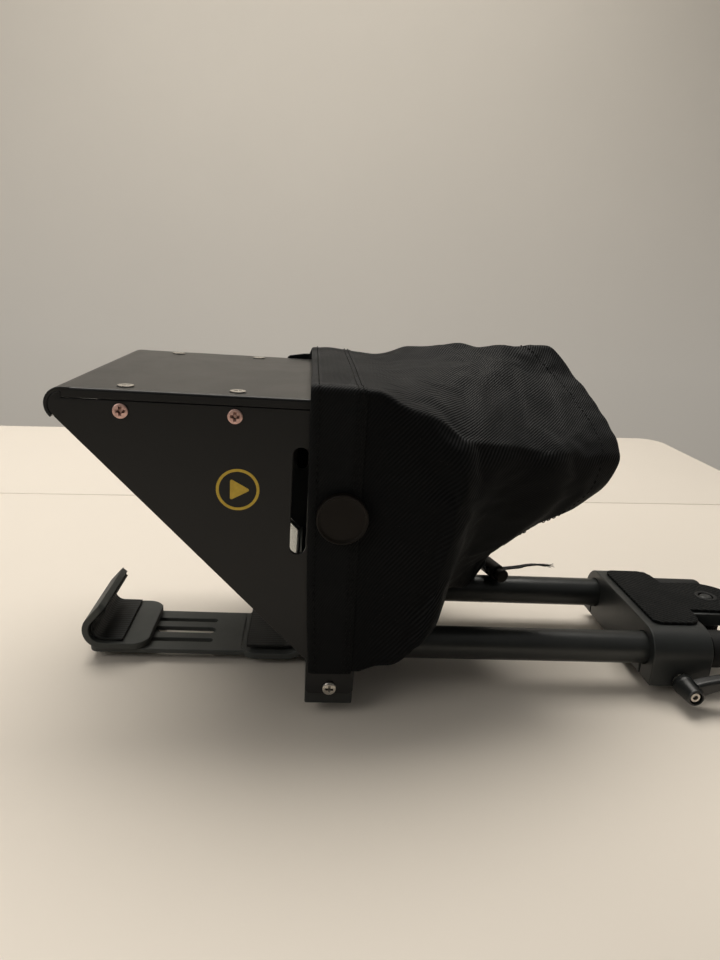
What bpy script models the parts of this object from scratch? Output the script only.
"""Smartphone teleprompter on 15 mm rods.

Frame: metres, +Z up.  The origin is on the rear face of the front cross block, midway
between the two rods and on the plane of their axes.  -X (front) is the side the speaker
stands on, with the phone tray and slanted glass; +X (rear) is the camera side, with the
lens shroud and rail block.  "left" is -Y and "right" is +Y, as the camera operator sees
them when looking towards -X.

All dimensions are in millimetres, laid out from the centre of the cross block, and are
turned into metres by MM.  The finished pieces are then moved so that the block's rear
face is at x = 0.
"""
import math

import bmesh
import bpy
import numpy as np
from mathutils import Matrix, Vector

for old_object in list(bpy.data.objects):
    bpy.data.objects.remove(old_object)

MM = 0.001
X_AXIS, Y_AXIS, Z_AXIS = (1, 0, 0), (0, 1, 0), (0, 0, 1)
SIDES = (("left", -1), ("right", 1))
SIGNS = (-1, 1)

# ---- dimensions shared between pieces (mm) ---------------------------------
GAP = 0.3                 # running and seating clearance between pieces
M3_HOLE_R, M4_HOLE_R = 1.8, 2.2

BLOCK_X, BLOCK_Y, BLOCK_Z = 10.0, 60.5, 13.0    # half sizes of the cross block

ROD_R = 7.5
ROD_Y = 30.0              # half the rod spacing
ROD_X1 = 208.0            # rear end of the rods

HOOD_HALF = 62.3          # half width over the side panels
SHEET = 1.5               # hood sheet thickness
HOOD_TOP = 116.4
SEAM_Z = 112.4            # joint line between top cover and side panel
HOOD_X1 = 10.0            # rear edge of the hood
ROLL_R = 6.5              # rolled front lip of the top cover
ROLL_X, ROLL_Z = -102.4, HOOD_TOP - ROLL_R
ROLL_END = 228            # angle where the rolled lip ends, degrees
TAB_SCREW_Z = -4.5        # screws through the hood tabs into the cross block
TOP_SCREWS_X = (-81.6, -40.3)
TOP_SCREW_Y = 53.8
SIDE_SCREW_Z = 108.7
SIDE_CUT = (50, 70)       # distances from the centre plane of cuts through a side wall
TOP_CUT = (105, 125)      # heights of cuts through the hood top

CHANNEL_Z0 = BLOCK_Z + GAP
CHANNEL_Z1 = 14.6
CHANNEL_SCREW_X, CHANNEL_SCREW_Y = 2, 48

TRAY_Z0, TRAY_Z1 = -15.6, -13.3
TRAY_CUT = (-20, -10)     # heights of cuts through the tray plate
TRAY_SCREW_Y = 12
FIXED_JAW_SCREW_X = -27
PIN_X, PIN_Y = -93.5, 10  # guide pins of the sliding jaw
CLAMP_X = -89.0           # clamp screw of the sliding jaw
JAW_BASE_Z = TRAY_Z1 + GAP
JAW_T = 3.0
JAW_R = 9.0               # outside bend radius of the jaws
JAW_CUT = (-20, -5)       # heights of cuts through a jaw's base plate

KNOB_X, KNOB_Z = 1.1, 72.0
SHROUD_HALF = 64.9        # outside half width of the shroud's front hem
SHROUD_T = 2.0

RAIL_TOP = 12.0
TONGUE_CX = 196.0         # centre of the tongue's rounded end
CAMERA_SCREW_X = 195.7
LEVER_X, LEVER_Z = 164.5, -10.2
LEVER_CENTRE = (LEVER_X, 0, LEVER_Z)

LOCK_CENTRE = Vector((90.8, 28.8, 12.15))         # where the cords cross the lock
LOCK_AXIS = Vector((0.28, -0.96, 0.0)).normalized()     # towards the push button
CORD_DIRECTION = Vector((-LOCK_AXIS.y, LOCK_AXIS.x, 0))  # towards the cords' tails


# ---- materials ------------------------------------------------------------
def material(name, rgb, roughness, metallic=0.0, alpha=1.0):
    result = bpy.data.materials.new(name)
    result.use_nodes = True
    inputs = result.node_tree.nodes["Principled BSDF"].inputs
    inputs["Base Color"].default_value = (*rgb, 1.0)
    inputs["Roughness"].default_value = roughness
    inputs["Metallic"].default_value = metallic
    inputs["Alpha"].default_value = alpha
    return result


BLACK_SHEET = material("satin_black_sheet", rgb=(0.016, 0.016, 0.015), roughness=0.42)
ANODISED = material("black_anodised", rgb=(0.03, 0.03, 0.028), roughness=0.36, metallic=0.6)
CHARCOAL = material("satin_charcoal", rgb=(0.045, 0.045, 0.04), roughness=0.4, metallic=0.3)
RUBBER = material("rubber", rgb=(0.012, 0.012, 0.012), roughness=0.75)
RIBBED_RUBBER = material("ribbed_rubber", rgb=(0.02, 0.022, 0.023), roughness=0.7)
FABRIC = material("black_nylon", rgb=(0.008, 0.009, 0.009), roughness=0.85)
PLASTIC = material("black_plastic", rgb=(0.02, 0.019, 0.018), roughness=0.38)
STEEL = material("zinc_steel", rgb=(0.55, 0.52, 0.47), roughness=0.32, metallic=1.0)
WARM_STEEL = material("passivated_steel", rgb=(0.40, 0.27, 0.25), roughness=0.35, metallic=1.0)
GLASS = material("beam_splitter_glass", rgb=(0.9, 0.92, 0.92), roughness=0.03, alpha=0.35)
CORD = material("cord", rgb=(0.01, 0.01, 0.01), roughness=0.8)


# ---- outlines: closed 2-D polygons (mm) --------------------------------------
def arc(centre_u, centre_v, radius, start, end, steps):
    """Points of an arc, angles in degrees."""
    angles = [math.radians(start + (end - start) * i / steps) for i in range(steps + 1)]
    return [(centre_u + radius * math.cos(a), centre_v + radius * math.sin(a)) for a in angles]


def rectangle(u0, u1, v0, v1):
    return [(u0, v0), (u1, v0), (u1, v1), (u0, v1)]


def slot_outline(first, second, radius, start, steps):
    """Round-ended slot between two end centres; start is where the second end's arc begins."""
    return arc(*second, radius, start, start + 180, steps) + \
        arc(*first, radius, start + 180, start + 360, steps)


def knurled(centre_x, inner, outer, count):
    """Circle about (centre_x, 0) whose points alternate between two radii."""
    points = []
    for i in range(count):
        radius = outer if i % 2 else inner
        angle = 2 * math.pi * i / count
        points.append((centre_x + radius * math.cos(angle), radius * math.sin(angle)))
    return points


def round_corners(outline, radii, steps=4):
    """Round every corner of an outline, each with its own radius."""
    points = []
    for i, radius in enumerate(radii):
        corner = Vector(outline[i])
        before = (Vector(outline[i - 1]) - corner).normalized()
        after = (Vector(outline[(i + 1) % len(outline)]) - corner).normalized()
        half = before.angle(after) / 2
        setback = radius / math.tan(half)
        centre = corner + (before + after).normalized() * (radius / math.sin(half))
        spoke = corner + before * setback - centre
        sweep = spoke.angle_signed(corner + after * setback - centre)
        for j in range(steps + 1):
            turn = -sweep * j / steps
            cos, sin = math.cos(turn), math.sin(turn)
            points.append(tuple(centre + Vector((spoke.x * cos - spoke.y * sin,
                                                 spoke.x * sin + spoke.y * cos))))
    return points


# ---- solids (mm in, metres out) ----------------------------------------------
def shade(mesh, angle):
    """Smooth shading with edges sharper than angle (degrees) kept; None leaves it flat."""
    if angle is not None:
        mesh.shade_smooth()
        mesh.set_sharp_from_angle(angle=math.radians(angle))


def link_object(name, mesh):
    result = bpy.data.objects.new(name, mesh)
    bpy.context.scene.collection.objects.link(result)
    return result


def finish(name, solid, mat, smooth):
    bmesh.ops.remove_doubles(solid, verts=solid.verts, dist=1e-7)
    bmesh.ops.recalc_face_normals(solid, faces=solid.faces)
    mesh = bpy.data.meshes.new(name)
    solid.to_mesh(mesh)
    solid.free()
    shade(mesh, smooth)
    if mat is not None:
        mesh.materials.append(mat)
    return link_object(name, mesh)


# Planes an outline can be drawn in: two outline coordinates and the extrusion distance.
def plane_xy(x, y, z):
    return x, y, z


def plane_xz(x, z, y):
    return x, y, z


def plane_yz(y, z, x):
    return x, y, z


def prism(name, outline, plane, low, high, mat=None, smooth=None):
    """Extrude an outline from low to high, square to its plane."""
    solid = bmesh.new()
    face = solid.faces.new([solid.verts.new(Vector(plane(u, v, low)) * MM) for u, v in outline])
    extruded = bmesh.ops.extrude_face_region(solid, geom=[face])["geom"]
    shift = (Vector(plane(0, 0, high)) - Vector(plane(0, 0, low))) * MM
    bmesh.ops.translate(solid, vec=shift,
                        verts=[v for v in extruded if isinstance(v, bmesh.types.BMVert)])
    return finish(name, solid, mat, smooth)


def side_prism(name, outline, sign, near, far, mat=None):
    """XZ outline extruded between two distances from the centre plane, on one side."""
    low, high = sorted((sign * near, sign * far))
    return prism(name, outline, plane_xz, low, high, mat)


def reference_for(axis):
    """A direction that is not parallel to the axis."""
    return Vector(Z_AXIS) if abs(axis.z) < 0.9 else Vector(X_AXIS)


def lathe(name, profile, centre, axis, segments=24, mat=None, smooth=30):
    """Spin a closed (radius, distance along axis) profile about an axis through centre."""
    axis = Vector(axis).normalized()
    across = reference_for(axis).cross(axis).normalized()
    third = axis.cross(across)
    centre = Vector(centre)
    solid = bmesh.new()
    rings = []
    for radius, distance in profile:
        hub = centre + axis * distance
        if radius <= 1e-9:
            rings.append([solid.verts.new(hub * MM)])
            continue
        angles = [2 * math.pi * i / segments for i in range(segments)]
        rings.append([solid.verts.new((hub + (across * math.cos(a) + third * math.sin(a))
                                       * radius) * MM) for a in angles])
    for ring, following in zip(rings, rings[1:] + rings[:1]):
        if len(ring) == 1 and len(following) == 1:
            continue
        for i in range(segments):
            j = (i + 1) % segments
            if len(ring) == 1:
                solid.faces.new((ring[0], following[i], following[j]))
            elif len(following) == 1:
                solid.faces.new((ring[i], ring[j], following[0]))
            else:
                solid.faces.new((ring[i], ring[j], following[j], following[i]))
    return finish(name, solid, mat, smooth)


def chamfered_pin(name, x, y, radius, low, high, segments, chamfer):
    """Upright steel cylinder with both ends chamfered."""
    profile = [(0, low), (radius - chamfer, low), (radius, low + chamfer),
               (radius, high - chamfer), (radius - chamfer, high), (0, high)]
    return lathe(name, profile, (x, y, 0), Z_AXIS, segments, STEEL)


def sweep(name, path, radius, segments, mat):
    """Sweep a round section along a 3-D polyline, closed by flat ends."""
    solid = bmesh.new()
    points = [Vector(p) for p in path]
    last = len(points) - 1
    tangents = [(points[min(i + 1, last)] - points[max(i - 1, 0)]).normalized()
                for i in range(last + 1)]
    first = tangents[0]
    reference = reference_for(first)
    normal = (reference - first * reference.dot(first)).normalized()
    rings = []
    for point, tangent in zip(points, tangents):
        normal = (normal - tangent * normal.dot(tangent)).normalized()
        binormal = tangent.cross(normal)
        angles = [2 * math.pi * j / segments for j in range(segments)]
        rings.append([solid.verts.new((point + (normal * math.cos(a) + binormal * math.sin(a))
                                       * radius) * MM) for a in angles])
    for ring, following in zip(rings, rings[1:]):
        for i in range(segments):
            j = (i + 1) % segments
            solid.faces.new((ring[i], ring[j], following[j], following[i]))
    solid.faces.new(rings[0])
    solid.faces.new(list(reversed(rings[-1])))
    return finish(name, solid, mat, smooth=60)


def spring(name, centre, axis, across, start, length, coil_radius, wire_radius):
    """Four-turn coil along the axis, starting in the across direction."""
    turns, steps_per_turn = 4, 8
    centre, axis, across = Vector(centre), Vector(axis), Vector(across)
    path = []
    for i in range(turns * steps_per_turn + 1):
        turn = i / steps_per_turn
        angle = 2 * math.pi * turn
        spoke = across * math.cos(angle) + Vector(Z_AXIS) * math.sin(angle)
        path.append(centre + axis * (start + length * turn / turns) + spoke * coil_radius)
    sweep(name, path, wire_radius, 4, STEEL)


def boolean(target, cutters, operation="DIFFERENCE", smooth=None):
    """Cut or join solids and keep the evaluated result as the object's mesh."""
    for cutter in cutters:
        modifier = target.modifiers.new("cut", "BOOLEAN")
        modifier.operation = operation
        modifier.solver = "EXACT"
        modifier.object = cutter
    depsgraph = bpy.context.evaluated_depsgraph_get()
    depsgraph.update()
    mesh = bpy.data.meshes.new_from_object(target.evaluated_get(depsgraph))
    target.modifiers.clear()
    uncut = target.data
    target.data = mesh
    bpy.data.meshes.remove(uncut)
    for cutter in cutters:
        cutter_mesh = cutter.data
        bpy.data.objects.remove(cutter)
        bpy.data.meshes.remove(cutter_mesh)
    shade(mesh, smooth)


def bore(centre, axis, radius, start, end, segments):
    """Cylindrical cutter between two distances along an axis."""
    profile = [(0, start), (radius, start), (radius, end), (0, end)]
    return lathe("cutter", profile, centre, axis, segments)


def bore_up(x, y, radius, low, high, segments=16):
    return bore((x, y, 0), Z_AXIS, radius, low, high, segments)


def bore_side(sign, x, z, radius, near, far, segments=16):
    return bore((x, 0, z), (0, sign, 0), radius, near, far, segments)


def rod_bores(start, end):
    return [bore((0, sign * ROD_Y, 0), X_AXIS, ROD_R + GAP, start, end, 32) for sign in SIGNS]


def set_origin(target, point):
    """Move an object's origin to a point (mm) without moving its shape."""
    origin = Vector(point) * MM
    target.data.transform(Matrix.Translation(-origin))
    target.location = origin


# ---- screws ---------------------------------------------------------------
def screw_mesh(name, mat, head_radius, head_height, shank_radius, length, recess="cross"):
    """Low domed head above z = 0, shank below; cross or hexagon recess."""
    profile = [(0, -length), (shank_radius, -length), (shank_radius, 0.0), (head_radius, 0.0),
               (head_radius, head_height * 0.45), (head_radius * 0.8, head_height * 0.9),
               (0, head_height)]
    screw = lathe(name, profile, (0, 0, 0), Z_AXIS, 12, mat, 35)
    if recess == "cross":
        reach, half = head_radius * 0.62, head_radius * 0.14
        plus = [(reach, -half), (reach, half), (half, half), (half, reach),
                (-half, reach), (-half, half), (-reach, half), (-reach, -half),
                (-half, -half), (-half, -reach), (half, -reach), (half, -half)]
        cutter = prism("cutter", plus, plane_xy, head_height * 0.3, head_height + 1)
    else:
        cutter = bore_up(0, 0, head_radius * 0.48, head_height * 0.25, head_height + 1, 6)
    boolean(screw, [cutter], smooth=35)
    mesh = screw.data
    bpy.data.objects.remove(screw)
    return mesh


PAN_M3 = screw_mesh("screw_m3_pan", WARM_STEEL, head_radius=3.4, head_height=1.5,
                    shank_radius=1.5, length=6.2)
LOW_M3 = screw_mesh("screw_m3_low", STEEL, head_radius=3.1, head_height=1.0,
                    shank_radius=1.5, length=6.0)
PAN_M4 = screw_mesh("screw_m4_pan", STEEL, head_radius=3.2, head_height=1.6,
                    shank_radius=1.9, length=9.0)
TRAY_M4 = screw_mesh("screw_m4_tray", STEEL, head_radius=3.4, head_height=1.6,
                     shank_radius=1.9, length=8.5, recess="hex")
SHORT_M3 = screw_mesh("screw_m3_short", STEEL, head_radius=2.8, head_height=1.2,
                      shank_radius=1.5, length=5.2, recess="hex")


def place_screw(name, mesh, point, axis):
    """Put a screw under its head at a point (mm), with the head facing along the axis."""
    screw = link_object(name, mesh)
    screw.location = Vector(point) * MM
    turn = Vector(Z_AXIS).rotation_difference(Vector(axis))
    screw.rotation_euler = turn.to_matrix().to_euler()


# ---- cross block and rods ------------------------------------------------------
def cross_block():
    section = round_corners(rectangle(-BLOCK_X, BLOCK_X, -BLOCK_Z, BLOCK_Z), [1.0] * 4, 2)
    block = prism("cross_block", section, plane_xz, -BLOCK_Y, BLOCK_Y, ANODISED)
    cuts = rod_bores(-20, 20)
    for sign in SIGNS:
        cuts += [bore_side(sign, 0, TAB_SCREW_Z, M4_HOLE_R, 51.5, 70),
                 bore_up(CHANNEL_SCREW_X, sign * CHANNEL_SCREW_Y, M3_HOLE_R, 6.5, 20),
                 bore_up(0, sign * TRAY_SCREW_Y, M4_HOLE_R, -20, -6.3),
                 bore_up(0, sign * ROD_Y, 2.8, -20, -3)]
    boolean(block, cuts, smooth=30)


def block_screws(side, sign):
    place_screw("hood_block_screw_" + side, PAN_M4,
                (0, sign * (HOOD_HALF + GAP), TAB_SCREW_Z), (0, sign, 0))
    y = sign * ROD_Y
    set_screw = chamfered_pin("rod_set_screw_" + side, 0, y, radius=2.5, low=-12.7, high=-7.9,
                              segments=16, chamfer=0.4)
    boolean(set_screw, [bore_up(0, y, 1.2, -14, -10.5, 6)], smooth=35)


def rod(side, sign):
    bore_radius, chamfer, front = 5.5, 0.6, -9.5
    profile = [(bore_radius, front), (ROD_R - chamfer, front), (ROD_R, front + chamfer),
               (ROD_R, ROD_X1 - chamfer), (ROD_R - chamfer, ROD_X1), (bore_radius, ROD_X1)]
    lathe("rod_" + side, profile, (0, sign * ROD_Y, 0), X_AXIS, 32, ANODISED)


def rod_end_cap(side, sign):
    radius, front, rear = 8.8, 180.8, 210.0
    inside = ROD_R + GAP
    profile = [(inside, front), (radius - 0.5, front), (radius, front + 0.5),
               (radius, rear - 3.0), (radius - 0.45, rear - 1.7), (radius - 1.3, rear - 0.7),
               (radius - 2.6, rear), (0, rear), (0, ROD_X1 + GAP), (inside, ROD_X1 + GAP)]
    lathe("rod_end_cap_" + side, profile, (0, sign * ROD_Y, 0), X_AXIS, 24, RUBBER)


# ---- hood -----------------------------------------------------------------------
EDGE_LOW = (-12.2, 10.2)      # lower end of the slanted front edge (x, z)
EDGE_TOP = (-105.3, 105.4)
EDGE_LENGTH = (Vector(EDGE_TOP) - Vector(EDGE_LOW)).length
EDGE_UP = (Vector(EDGE_TOP) - Vector(EDGE_LOW)).normalized()
EDGE_BACK = Vector((EDGE_UP.y, -EDGE_UP.x))     # square to the edge, towards +X and +Z


def on_slant(along, behind):
    """(x, z) at a distance up the slanted edge and a distance behind it."""
    point = Vector(EDGE_LOW) + EDGE_UP * along + EDGE_BACK * behind
    return point.x, point.y


def side_screw_holes(sign):
    return [bore_side(sign, x, SIDE_SCREW_Z, M3_HOLE_R, *SIDE_CUT) for x in TOP_SCREWS_X]


def top_screw_holes(sign):
    return [bore_up(x, sign * TOP_SCREW_Y, M3_HOLE_R, *TOP_CUT) for x in TOP_SCREWS_X]


def hood_side(side, sign):
    """Side panel with a bottom tab, an upright slot and a lip along the slanted edge."""
    head_radius = ROLL_R - SHEET - 0.4      # panel corner inside the rolled lip
    seam_angle = 180 - math.degrees(math.asin((SEAM_Z - ROLL_Z) / head_radius))
    tab_z, tab_corner = -7.5, 2
    outline = [EDGE_LOW, EDGE_TOP] + \
        arc(ROLL_X, ROLL_Z, head_radius, ROLL_END, seam_angle, 5) + \
        [(HOOD_X1, SEAM_Z), (HOOD_X1, tab_z + tab_corner), (HOOD_X1 - tab_corner, tab_z),
         (-BLOCK_X + tab_corner, tab_z), (-BLOCK_X, tab_z + tab_corner), (-BLOCK_X, 7.9)]
    panel = side_prism("hood_side_" + side, outline, sign, HOOD_HALF, HOOD_HALF - SHEET,
                       BLACK_SHEET)

    lip_low, lip_top = 1.5, EDGE_LENGTH - 7
    lip_front, lip_back = 0.1, 1.3
    lip = [on_slant(lip_low, lip_front), on_slant(lip_top, lip_front),
           on_slant(lip_top, lip_back), on_slant(lip_low, lip_back)]
    boolean(panel, [side_prism("lip", lip, sign, HOOD_HALF - 0.5, HOOD_HALF - 3.2)], "UNION")

    slot_x0, slot_x1, slot_z0, slot_z1 = -18.6, -12.4, 55.0, 98.0
    radius, centre_x = (slot_x1 - slot_x0) / 2, (slot_x0 + slot_x1) / 2
    slot = slot_outline((centre_x, slot_z0 + radius), (centre_x, slot_z1 - radius),
                        radius, 0, 10)
    cuts = [side_prism("cutter", slot, sign, HOOD_HALF - SHEET - 5, HOOD_HALF + 5)]
    cuts += side_screw_holes(sign)
    cuts += [bore_side(sign, 0, TAB_SCREW_Z, M4_HOLE_R, *SIDE_CUT),
             bore_side(sign, KNOB_X, KNOB_Z, 2.6, *SIDE_CUT)]
    boolean(panel, cuts, smooth=30)


def hood_angle(side, sign):
    """Corner angle that the top and side screws go into."""
    outer_y = HOOD_HALF - SHEET - GAP
    inner_y = outer_y - SHEET
    top = HOOD_TOP - SHEET - GAP
    under = top - SHEET
    flange_y, bottom = 46.0, 101.0
    section = [(outer_y, bottom), (outer_y, top), (flange_y, top),
               (flange_y, under), (inner_y, under), (inner_y, bottom)]
    angle = prism("hood_angle_" + side, [(sign * y, z) for y, z in section], plane_yz,
                  -90.0, 8.0, ANODISED)
    boolean(angle, side_screw_holes(sign) + top_screw_holes(sign), smooth=30)


def hood_top_cover():
    """Top cover with rounded long edges and a rolled front lip."""
    half, top, edge_radius, bottom = HOOD_HALF, HOOD_TOP, 2.0, SEAM_Z + GAP
    section = [(-half, bottom)] + \
        arc(-half + edge_radius, top - edge_radius, edge_radius, 180, 90, 3) + \
        arc(half - edge_radius, top - edge_radius, edge_radius, 90, 0, 3) + \
        [(half, bottom), (half - SHEET, bottom), (half - SHEET, top - SHEET),
         (-half + SHEET, top - SHEET), (-half + SHEET, bottom)]
    cover = prism("hood_top_cover", section, plane_yz, ROLL_X, HOOD_X1, BLACK_SHEET)

    inset, overlap = 0.04, 3      # the lip sits just inside the cover's skins and runs into it
    outer, inner = ROLL_R - inset, ROLL_R - SHEET + inset
    roll = [(ROLL_X + overlap, ROLL_Z + inner), (ROLL_X + overlap, ROLL_Z + outer)] + \
        arc(ROLL_X, ROLL_Z, outer, 90, ROLL_END, 12) + \
        arc(ROLL_X, ROLL_Z, inner, ROLL_END, 90, 12)
    lip = prism("lip", roll, plane_xz, -half + inset, half - inset)
    boolean(cover, [lip], "UNION")
    boolean(cover, top_screw_holes(-1) + top_screw_holes(1), smooth=30)


def hood_screws(side, sign):
    for end, x in zip(("front", "rear"), TOP_SCREWS_X):
        place_screw(f"top_screw_{end}_{side}", LOW_M3,
                    (x, sign * TOP_SCREW_Y, HOOD_TOP + GAP), Z_AXIS)
        place_screw(f"side_screw_{end}_{side}", PAN_M3,
                    (x, sign * (HOOD_HALF + GAP), SIDE_SCREW_Z), (0, sign, 0))


# ---- beam splitter and the channel under it ----------------------------------------
GLASS_FRONT = 1.5             # glass front face behind the slanted edge
GLASS_BACK = GLASS_FRONT + 4.0


def beam_splitter():
    low, top, half_width = 4, 136.5, 59.5
    section = [on_slant(low, GLASS_FRONT), on_slant(top, GLASS_FRONT),
               on_slant(top, GLASS_BACK), on_slant(low, GLASS_BACK)]
    prism("beam_splitter_glass", section, plane_xz, -half_width, half_width, GLASS)


def glass_channel():
    """U-shaped channel around the glass's lower edge, with a foot on the cross block."""
    lip_top, floor, outside_low = 9.5, 3.6, 2.4
    front_wall = 1.2
    back_inside, back_outside = GLASS_BACK + 0.3, GLASS_BACK + 1.5
    section = [on_slant(lip_top, 0.0), on_slant(lip_top, front_wall),
               on_slant(floor, front_wall), on_slant(floor, back_inside),
               on_slant(lip_top, back_inside), on_slant(lip_top, back_outside),
               on_slant(3.2, back_outside), (-7.0, CHANNEL_Z1), (6.0, CHANNEL_Z1),
               (6.0, CHANNEL_Z0), (-9.3, CHANNEL_Z0),
               on_slant(outside_low, 1.5), on_slant(outside_low, 0.0)]
    half_width = 58.6
    channel = prism("glass_lower_channel", section, plane_xz, -half_width, half_width, ANODISED)
    boolean(channel, [bore_up(CHANNEL_SCREW_X, sign * CHANNEL_SCREW_Y, M3_HOLE_R, 10, 20)
                      for sign in SIGNS], smooth=30)
    for side, sign in SIDES:
        place_screw("channel_screw_" + side, LOW_M3,
                    (CHANNEL_SCREW_X, sign * CHANNEL_SCREW_Y, CHANNEL_Z1 + GAP), Z_AXIS)


# ---- phone tray ------------------------------------------------------------------
def tray_plate():
    front, rear, half_width = -111.0, 10.0, 19.4
    slots_front, slots_rear = -107.0, -55.0
    outline = round_corners(rectangle(front, rear, -half_width, half_width), [4, 1, 1, 4])
    tray = prism("tray_plate", outline, plane_xy, TRAY_Z0, TRAY_Z1, CHARCOAL)
    cuts = []
    for y, width in ((0, 5.5), (-PIN_Y, 3.3), (PIN_Y, 3.3)):
        radius = width / 2
        slot = slot_outline((slots_front + radius, y), (slots_rear - radius, y), radius, -90, 8)
        cuts.append(prism("cutter", slot, plane_xy, *TRAY_CUT))
    for x, radius in ((0, M4_HOLE_R), (FIXED_JAW_SCREW_X, M3_HOLE_R)):
        cuts += [bore_up(x, sign * TRAY_SCREW_Y, radius, *TRAY_CUT) for sign in SIGNS]
    boolean(tray, cuts, smooth=30)


def tray_screws(side, sign):
    for name, mesh, x in (("tray_screw_", TRAY_M4, 0),
                          ("fixed_jaw_screw_", SHORT_M3, FIXED_JAW_SCREW_X)):
        place_screw(name + side, mesh, (x, sign * TRAY_SCREW_Y, TRAY_Z0 - GAP), (0, 0, -1))


# ---- jaws: bent plates that lean over the phone --------------------------------------
# x of the bend centre, x of the flat end, and the end the jaw bends up at (-1 is -X)
SLIDING_JAW = (-104.5, -84.0, -1)
FIXED_JAW = (-20.0, -41.0, 1)


def jaw_profile(centre, end, direction, inner, outer, arm):
    """J section in XZ: flat base from end, bend about centre, then a straight arm."""
    centre_z = JAW_BASE_Z + JAW_R
    bend_start, bend_end = -82, 40

    def bend(radius):
        return [(centre + direction * x, z)
                for x, z in arc(0, centre_z, radius, bend_start, bend_end, 9)]

    outside = bend(outer)
    inside = bend(inner)[::-1]
    arm_x = -direction * math.sin(math.radians(bend_end)) * arm
    arm_z = math.cos(math.radians(bend_end)) * arm
    tip = [(x + arm_x, z + arm_z) for x, z in (outside[-1], inside[0])]
    return [(end, centre_z - outer), (centre, centre_z - outer)] + outside + tip + inside + \
        [(centre, centre_z - inner), (end, centre_z - inner)]


def jaw(name, shape, y_low, y_high):
    """Bent plate with the base's two flat-end corners rounded in plan."""
    profile = jaw_profile(*shape, inner=JAW_R - JAW_T, outer=JAW_R, arm=9.8)
    plate = prism(name, profile, plane_xz, y_low, y_high, CHARCOAL)
    _, end, direction = shape
    radius, overcut = 8.0, 2
    for y, inward in ((y_low, 1), (y_high, -1)):
        corner = [(end - direction * overcut, y - inward * overcut),
                  (end + direction * radius, y - inward * overcut)]
        for i in range(6):
            angle = math.pi / 2 * i / 5
            corner.append((end + direction * (radius - radius * math.sin(angle)),
                           y + inward * (radius - radius * math.cos(angle))))
        corner.append((end - direction * overcut, y + inward * radius))
        boolean(plate, [prism("cutter", corner, plane_xy,
                              JAW_BASE_Z - 2, JAW_BASE_Z + JAW_T + 0.9)])
    return plate


def jaw_liner(name, shape, end_shift, y_low, y_high):
    """Rubber sheet inside the bend of a jaw."""
    centre, end, direction = shape
    thickness, outer = 1.2, JAW_R - JAW_T - GAP
    profile = jaw_profile(centre, end + end_shift, direction, outer - thickness, outer, arm=8.4)
    prism(name, profile, plane_xz, y_low, y_high, RUBBER, 35)


def sliding_jaw():
    plate = jaw("sliding_jaw", SLIDING_JAW, -21.0, 24.0)
    cuts = [bore_up(CLAMP_X, 0, 2.4, *JAW_CUT),
            bore_up(CLAMP_X, 0, 4.6, JAW_BASE_Z + 1.2, -5, 20)]
    cuts += [bore_up(PIN_X, sign * PIN_Y, 1.6, *JAW_CUT, 12) for sign in SIGNS]
    boolean(plate, cuts, smooth=30)
    jaw_liner("sliding_jaw_liner", SLIDING_JAW, -11.5, -19.0, 22.0)


def fixed_jaw():
    plate = jaw("fixed_jaw", FIXED_JAW, -22.0, 22.0)
    boolean(plate, [bore_up(FIXED_JAW_SCREW_X, sign * TRAY_SCREW_Y, M3_HOLE_R, *JAW_CUT)
                    for sign in SIGNS], smooth=30)
    jaw_liner("fixed_jaw_liner", FIXED_JAW, 3.0, -20.0, 20.0)


def jaw_clamp():
    """Clamp screw with its head sunk in the jaw, knurled nut under the tray, guide pins."""
    bottom, shank, head = -18.7, 2.0, 4.3
    head_low, head_top = JAW_BASE_Z + 1.5, JAW_BASE_Z + 2.9
    profile = [(0, bottom), (shank - 0.3, bottom), (shank, bottom + 0.3), (shank, head_low),
               (head, head_low), (head, head_top), (0, head_top)]
    screw = lathe("jaw_clamp_screw", profile, (CLAMP_X, 0, 0), Z_AXIS, 20, STEEL)
    boolean(screw, [bore_up(CLAMP_X, 0, 1.5, JAW_BASE_Z + 2.0, 0, 6)], smooth=30)

    nut = prism("jaw_clamp_nut", knurled(CLAMP_X, 6.0, 6.5, 36), plane_xy,
                -19.0, TRAY_Z0 - GAP, ANODISED)
    boolean(nut, [bore_up(CLAMP_X, 0, 2.3, -25, -10, 20)])
    set_origin(nut, (CLAMP_X, 0, -17.5))
    for side, sign in SIDES:
        chamfered_pin("jaw_guide_pin_" + side, PIN_X, sign * PIN_Y, radius=1.3, low=-15.9,
                      high=JAW_BASE_Z + 2.7, segments=12, chamfer=0.3)


# ---- lens shroud ----------------------------------------------------------
# Front hem: x from the shroud's front, y, z.  As at every station, the 12 points on the
# outside of the fabric run from the lower left corner up the left side, over the top, down
# the right side and back along the bottom.
HEM_X = -12.0
HEM = [(3.6, -SHROUD_HALF, 4.3), (1.6, -SHROUD_HALF, 42), (0.6, -SHROUD_HALF, 80),
       (0.0, -SHROUD_HALF, 121.0), (0.0, -22, 121.8), (0.0, 22, 122.0),
       (0.0, SHROUD_HALF, 121.4), (-16.4, SHROUD_HALF, 80), (-8.0, SHROUD_HALF, 42),
       (3.6, SHROUD_HALF, 4.3), (0.0, 22, 16.0), (0.0, -22, 16.0)]
HOOD_STATIONS_X = (10.9, 12.6)        # flat stations with the hem's y and z
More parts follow.
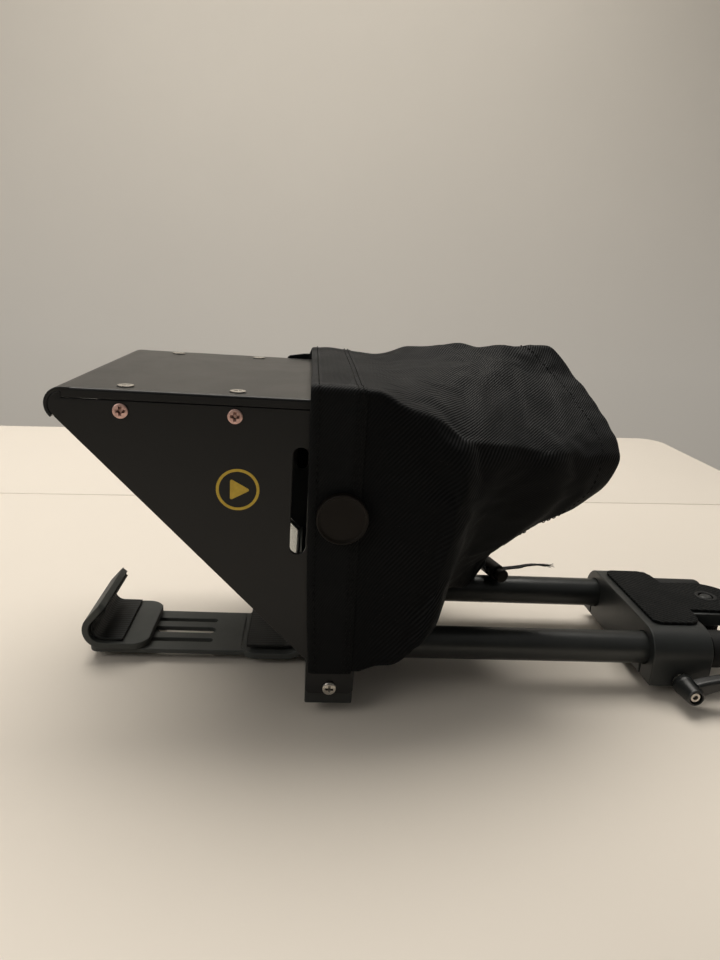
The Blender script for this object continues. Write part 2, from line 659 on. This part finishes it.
# Stations behind the hood, front to rear: x, y, z of the 12 points
REAR_STATIONS = [
    [(28.5, -64.3, 10.3), (35.0, -65.6, 40), (37.0, -65.4, 80), (31.0, -59.5, 114.0),
     (36.0, -22, 121.0), (34.0, 22, 125.0), (30.0, 56.0, 126.0), (37.0, 65.4, 84),
     (35.0, 65.4, 42), (28.5, 64.3, 10.5), (30.0, 22, 15.0), (30.0, -22, 15.0)],
    [(40.5, -64.0, 24.4), (46.5, -64.5, 49), (50.5, -63.5, 80.5), (50.0, -57.5, 103.5),
     (56.0, -20, 117.5), (58.0, 20, 127.0), (54.0, 50.0, 129.0), (56.0, 62.0, 90),
     (50.0, 63.0, 50), (44.0, 60.0, 22), (46.0, 24, 13.5), (45.0, -18, 16.0)],
    [(57.0, -14.0, 24), (62.0, -32.0, 52), (66.0, -47.0, 80), (70.0, -47.5, 100.0),
     (76.0, -12, 114.5), (78.0, 18, 126.0), (75.0, 45.0, 130.0), (73.0, 57.0, 95),
     (68.0, 57.0, 55), (62.0, 52.0, 24), (64.0, 36, 12.2), (62.0, 12, 7.0)],
    [(74.0, 6.0, 25), (86.0, -12.0, 47), (97.0, -33.0, 74), (98.0, -36.0, 95.0),
     (100.0, -8, 108.5), (99.0, 20, 121.5), (94.0, 41.0, 131.0), (88.0, 52.0, 98),
     (82.0, 51.0, 58), (76.0, 45.0, 26), (75.0, 35, 11.8), (74.0, 18, 6.8)],
    [(89.0, 18.0, 30.5), (106.5, 5.0, 47), (124.5, -14.0, 66), (129.0, -18.0, 90.0),
     (126.0, 2, 106.0), (118.0, 25, 121.5), (106.0, 38.0, 131.5), (101.0, 48.0, 104),
     (93.0, 48.0, 64), (86.0, 43.0, 32), (83.0, 35, 13.5), (82.5, 26, 14.5)],
]
ROUNDNESS = (0.0, 0.0, 0.0, 0.3, 0.6, 0.9, 1.0, 1.0)   # of each station's corners, 0 to 1
SPAN_ROWS = (2, 1, 3, 3, 3, 3, 3)     # grid rows from each station to the next
FLAT_SPANS = 2                        # straight spans at the front, open at the bottom
COLUMNS_PER_POINT = 2
LOWER_RIGHT = 9                       # index of the lower right corner in a station


def catmull(before, start, end, after, t):
    return 0.5 * ((2 * start) + (end - before) * t
                  + (2 * before - 5 * start + 4 * end - after) * t * t
                  + (3 * start - before - 3 * end + after) * t ** 3)


def shroud_grid():
    """Grid of outside points: rows along the shroud, columns around it."""
    stations = [[(HEM_X + x, y, z) for x, y, z in HEM]]
    stations += [[(x, y, z) for _, y, z in HEM] for x in HOOD_STATIONS_X]
    stations = np.array(stations + REAR_STATIONS, float)
    last = len(SPAN_ROWS) - 1
    rows = []
    for k, steps in enumerate(SPAN_ROWS):
        start, end = stations[k], stations[k + 1]
        before = stations[k - 1] if k > FLAT_SPANS else start * 2 - end
        after = stations[min(k + 2, last + 1)]
        for j in range(steps + (k == last)):
            t = j / steps
            if k < FLAT_SPANS:
                control = start * (1 - t) + end * t
            else:
                control = catmull(before, start, end, after, t)
            roundness = ROUNDNESS[k] * (1 - t) + ROUNDNESS[k + 1] * t
            row = []
            for i in range(12):
                near, far = control[i], control[(i + 1) % 12]
                for m in range(COLUMNS_PER_POINT):
                    s = m / COLUMNS_PER_POINT
                    straight = near * (1 - s) + far * s
                    curved = catmull(control[i - 1], near, far, control[(i + 2) % 12], s)
                    row.append(straight * (1 - roundness) + curved * roundness)
            rows.append(row)
    return np.array(rows)


def shroud(grid):
    rows, columns = grid.shape[:2]
    open_rows = sum(SPAN_ROWS[:FLAT_SPANS])
    points = grid.reshape(-1, 3)
    sheet = bmesh.new()
    verts = [sheet.verts.new(Vector(p) * MM) for p in points]
    for j in range(rows - 1):
        for i in range(columns):
            if j < open_rows and i >= LOWER_RIGHT * COLUMNS_PER_POINT:
                continue
            near, far, following = j * columns, (j + 1) * columns, (i + 1) % columns
            sheet.faces.new([verts[index] for index in
                             (near + i, near + following, far + following, far + i)])
    loose = [v for v in sheet.verts if not v.link_faces]
    bmesh.ops.delete(sheet, geom=loose, context="VERTS")
    sheet.normal_update()
    mesh = bpy.data.meshes.new("shroud")
    sheet.to_mesh(mesh)
    sheet.free()
    result = link_object("shroud", mesh)
    mesh.materials.append(FABRIC)
    # outward normals, so the fabric thickness grows to the inside
    centre = Vector(np.mean(points, axis=0) * MM)
    sample = mesh.polygons[len(mesh.polygons) // 2]
    if sample.normal.dot(sample.center - centre) < 0:
        mesh.flip_normals()
    thicken = result.modifiers.new("fabric", "SOLIDIFY")
    thicken.thickness = SHROUD_T * MM
    thicken.offset = -1.0
    thicken.use_even_offset = True
    boolean(result, [bore((KNOB_X, 0, KNOB_Z), Y_AXIS, 3.2, -75, 75, 16)], smooth=40)


def shroud_knob(side, sign):
    """Knob with a shank through the shroud and hood side, and the nut inside."""
    centre, axis = (KNOB_X, 0, KNOB_Z), (0, sign, 0)
    radius, seat = 10.0, SHROUD_HALF + GAP
    profile = [(0, 56.8), (1.7, 56.8), (2.0, 57.1), (2.0, seat), (radius - 0.6, seat),
               (radius, seat + 0.6), (radius, seat + 3.2), (radius - 0.5, seat + 3.7),
               (radius - 1.4, seat + 3.7), (radius - 1.8, seat + 3.3), (0, seat + 3.5)]
    knob = lathe("shroud_knob_" + side, profile, centre, axis, 28, PLASTIC)
    set_origin(knob, (KNOB_X, sign * seat, KNOB_Z))
    lathe("shroud_knob_nut_" + side, rectangle(2.3, 4.2, 57.5, 60.4), centre, axis, 12, STEEL)


# ---- drawcord and cord lock -------------------------------------------------------
CORD_R = 0.55
# Loose tails, outer end first, and the runs from the lock up to the rim (x, y, z)
FIRST_TAIL = [(122.0, 30.5, 14.9), (118.0, 31.2, 14.8), (113.5, 32.0, 14.1), (109.5, 32.9, 12.9)]
SECOND_TAIL = [(121.5, 33.2, 13.4), (115.0, 34.4, 13.5), (110.0, 34.7, 12.8)]
FIRST_RISE = [(85.2, 27.6, 14.5), (84.6, 27.2, 19.5)]
SECOND_RISE = [(85.0, 30.4, 14.5), (84.4, 30.6, 19.0)]


def through_lock(sign):
    """Cord points through the lock, from its tail side, at +/-0.95 along the lock axis."""
    return [LOCK_CENTRE + CORD_DIRECTION * along + LOCK_AXIS * (sign * 0.95) + Vector((0, 0, z))
            for along, z in ((15.5, 0), (0, 0), (-4.8, 0.3))]


def cord_ring(grid):
    """Points just inside the shroud's rear rim."""
    rim = [Vector(p) for p in grid[-1]]
    previous = [Vector(p) for p in grid[-2]]
    count = len(rim)
    centre = sum(rim, Vector()) / count
    from_rim, from_fabric = 5.5, SHROUD_T + GAP + CORD_R + 2.0
    ring = []
    for i, point in enumerate(rim):
        forward = (previous[i] - point).normalized()
        around = (rim[(i + 1) % count] - rim[i - 1]).normalized()
        inward = forward.cross(around).normalized()
        if inward.dot(centre - point) < 0:
            inward = -inward
        ring.append(point + forward * from_rim + inward * from_fabric)
    return ring


def drawcord(grid):
    """One cord: a tail, through the lock, round the rim, back through the lock."""
    first = [Vector(p) for p in FIRST_TAIL] + through_lock(1)
    second = [Vector(p) for p in SECOND_TAIL] + through_lock(-1)
    ring = cord_ring(grid)
    # open the ring at its point nearest the lock, leaving that point out
    mouth = LOCK_CENTRE - CORD_DIRECTION * 12
    opening = min(range(len(ring)), key=lambda i: (ring[i] - mouth).length)
    loop = ring[opening + 1:] + ring[:opening]
    if (loop[0] - first[-1]).length > (loop[-1] - first[-1]).length:
        loop.reverse()
    path = first + FIRST_RISE + loop + SECOND_RISE[::-1] + second[::-1]
    sweep("drawcord", path, CORD_R, 5, CORD)


def cord_lock():
    # profiles: radius, distance from the cords towards the push button
    barrel_profile = [(0, -10), (3.4, -10), (4.25, -9.1), (4.25, 4.2), (3.6, 5.0),
                      (3.05, 5.0), (3.05, -9.0), (0, -9.0)]
    barrel = lathe("cord_lock_barrel", barrel_profile, LOCK_CENTRE, LOCK_AXIS, 18, PLASTIC)
    boolean(barrel, [bore(LOCK_CENTRE, CORD_DIRECTION, 2.3, -8, 8, 16)], smooth=35)

    plunger_profile = [(0, -3.2), (2.7, -3.2), (2.7, 7.8), (3.6, 7.8), (3.6, 9.4),
                       (2.9, 10.2), (0, 10.2)]
    plunger = lathe("cord_lock_plunger", plunger_profile, LOCK_CENTRE, LOCK_AXIS, 16, PLASTIC)

    def lock_plane(along, up, across):
        return LOCK_CENTRE + LOCK_AXIS * along + Vector((0, 0, up)) + CORD_DIRECTION * across

    window = prism("cutter", rectangle(-2.0, 4.6, -1.3, 1.3), lock_plane, -6, 6)
    boolean(plunger, [window], smooth=35)
    set_origin(plunger, LOCK_CENTRE)
    spring("cord_lock_spring", LOCK_CENTRE, LOCK_AXIS, CORD_DIRECTION, start=-8.4, length=4.6,
           coil_radius=2.2, wire_radius=0.3)


# ---- rail block, camera pad and camera screw -------------------------------------------
def rail_block():
    """Block clamped on both rods, with a round-ended tongue to the rear."""
    front, rear, bottom, outer = 150.0, 178.6, -13.4, 12.0
    section = [(-ROD_Y - outer, bottom)] + arc(-ROD_Y, 0, outer, 180, 90, 8) + \
        arc(ROD_Y, 0, outer, 90, 0, 8) + [(ROD_Y + outer, bottom)]
    section[1] = (-ROD_Y - outer, 0)
    block = prism("rail_block", section, plane_yz, front, rear, ANODISED)

    half, bottom_z, root = 17.5, 5.6, rear - 6
    outline = [(root, -half)] + arc(TONGUE_CX, 0, half, -90, 90, 14) + [(root, half)]
    boolean(block, [prism("tongue", outline, plane_xy, bottom_z, RAIL_TOP)], "UNION")

    slit_y, slit_width = 31.0, 1.2        # slits under the rod bores
    cuts = rod_bores(140, 190)
    for sign in SIGNS:
        slit = rectangle(140, 190, sign * slit_y - slit_width / 2, sign * slit_y + slit_width / 2)
        cuts.append(prism("cutter", slit, plane_xy, -20, -5))
    cuts += [bore_side(sign, LEVER_X, LEVER_Z, M4_HOLE_R, 17, 50) for sign in SIGNS]
    cuts.append(bore_up(CAMERA_SCREW_X, 0, 3.6, 0, 20, 20))
    boolean(block, cuts, smooth=30)


def camera_pad():
    front, half_width, neck, thickness = 154.0, 30.0, 16.2, 1.2
    corners = [(front, half_width), (front, -half_width), (177.0, -half_width), (179.0, -neck)]
    # the first corner's five points are dropped; mirroring supplies that half
    left = round_corners(corners, [4, 4, 7, 2])[5:]
    right = [(x, -y) for x, y in reversed(left)]
    outline = left + arc(TONGUE_CX, 0, neck, -90, 90, 12) + right
    bottom = RAIL_TOP + GAP
    pad = prism("camera_pad", outline, plane_xy, bottom, bottom + thickness, RIBBED_RUBBER)
    boolean(pad, [bore_up(CAMERA_SCREW_X, 0, 4.4, 5, 20, 20)])


def camera_screw():
    """Knurled knob below the tongue with an upright stud, and its washer."""
    centre, knob_top = (CAMERA_SCREW_X, 0, 0), -0.9
    screw = prism("camera_screw", knurled(CAMERA_SCREW_X, 8.0, 8.5, 40), plane_xy,
                  knob_top - 7.0, knob_top, PLASTIC)
    stud = [(0, knob_top - 2), (3.1, knob_top - 2), (3.1, 13.2), (2.6, 13.8), (0, 13.8)]
    boolean(screw, [lathe("stud", stud, centre, Z_AXIS)], "UNION", smooth=35)
    set_origin(screw, centre)
    washer_z = knob_top + GAP
    lathe("camera_screw_washer", rectangle(3.4, 6.5, washer_z, washer_z + 1.0),
          centre, Z_AXIS, 24, RUBBER)


# ---- ratchet clamp levers ----------------------------------------------------------
# Profiles: radius, distance from the centre plane
BOLT_PROFILE = [(0, 17.6), (1.6, 17.6), (1.9, 17.9), (1.9, 43.1), (4.3, 43.1), (4.3, 44.1),
                (2.6, 44.1), (2.6, 48.2), (1.3, 48.2), (1.3, 45.0), (0, 45.0)]
HUB_PROFILE = [(2.95, 44.4), (4.9, 44.4), (4.9, 47.5), (4.0, 59.4), (3.6, 60.0), (2.95, 60.0),
               (2.95, 49.5), (1.5, 49.5), (1.5, 48.5), (2.95, 48.5)]
LEVER_SCREW_PROFILE = [(0, 45.6), (1.0, 45.6), (1.0, 57.1), (2.5, 57.1), (2.5, 58.7),
                       (2.1, 59.1), (0, 59.1)]
# Arm centreline from the hub towards +X: x, z, width
ARM_STATIONS = [(LEVER_X + 3.2, LEVER_Z + 1.2, 5.6), (171.5, -7.4, 5.4), (180.0, -5.2, 5.2),
                (190.0, -4.4, 5.6), (198.0, -5.0, 6.6), (204.0, -6.4, 6.4)]


def arm_outline():
    """Curved bar along ARM_STATIONS with a round free end."""
    centres = [Vector((x, z)) for x, z, _ in ARM_STATIONS]
    last = len(centres) - 1
    top, bottom = [], []
    for i, (x, z, width) in enumerate(ARM_STATIONS):
        along = (centres[min(i + 1, last)] - centres[max(i - 1, 0)]).normalized()
        normal = Vector((-along.y, along.x))
        top.append((x + normal.x * width / 2, z + normal.y * width / 2))
        bottom.append((x - normal.x * width / 2, z - normal.y * width / 2))
    end_x, end_z, end_width = ARM_STATIONS[-1]
    along = (centres[-1] - centres[-2]).normalized()
    heading = math.degrees(math.atan2(along.y, along.x))
    cap = arc(end_x, end_z, end_width / 2, heading - 90, heading + 90, 6)[1:-1]
    return bottom + cap + top[::-1]


def clamp_lever(side, sign):
    axis = (0, sign, 0)
    bolt = lathe("clamp_bolt_" + side, BOLT_PROFILE, LEVER_CENTRE, axis, 14, STEEL)
    set_origin(bolt, (LEVER_X, sign * 43.1, LEVER_Z))

    lever = lathe("clamp_lever_" + side, HUB_PROFILE, LEVER_CENTRE, axis, 20, ANODISED)
    arm = side_prism("arm", arm_outline(), sign, 49.6, 55.6)
    # keep the arm out of the hub's bore
    boolean(arm, [bore_side(sign, LEVER_X, LEVER_Z, 3.6, 40, 70, 24)])
    boolean(lever, [arm], "UNION", smooth=35)
    set_origin(lever, (LEVER_X, sign * 52, LEVER_Z))

    screw = lathe("clamp_lever_screw_" + side, LEVER_SCREW_PROFILE, LEVER_CENTRE, axis, 14, STEEL)
    boolean(screw, [bore_side(sign, LEVER_X, LEVER_Z, 1.2, 57.8, 62, 6)], smooth=35)
    spring("clamp_lever_spring_" + side, LEVER_CENTRE, axis, X_AXIS, start=50.1, length=6.3,
           coil_radius=2.1, wire_radius=0.28)


# ---- assembly -----------------------------------------------------------------------
def build():
    cross_block()
    hood_top_cover()
    beam_splitter()
    glass_channel()
    tray_plate()
    sliding_jaw()
    fixed_jaw()
    jaw_clamp()
    grid = shroud_grid()
    shroud(grid)
    drawcord(grid)
    cord_lock()
    rail_block()
    camera_pad()
    camera_screw()
    for piece in (block_screws, rod, rod_end_cap, hood_side, hood_angle, hood_screws,
                  tray_screws, shroud_knob, clamp_lever):
        for side, sign in SIDES:
            piece(side, sign)
    # move the datum from the block's centre to its rear face
    for placed in bpy.data.objects:
        placed.location.x -= BLOCK_X * MM


build()
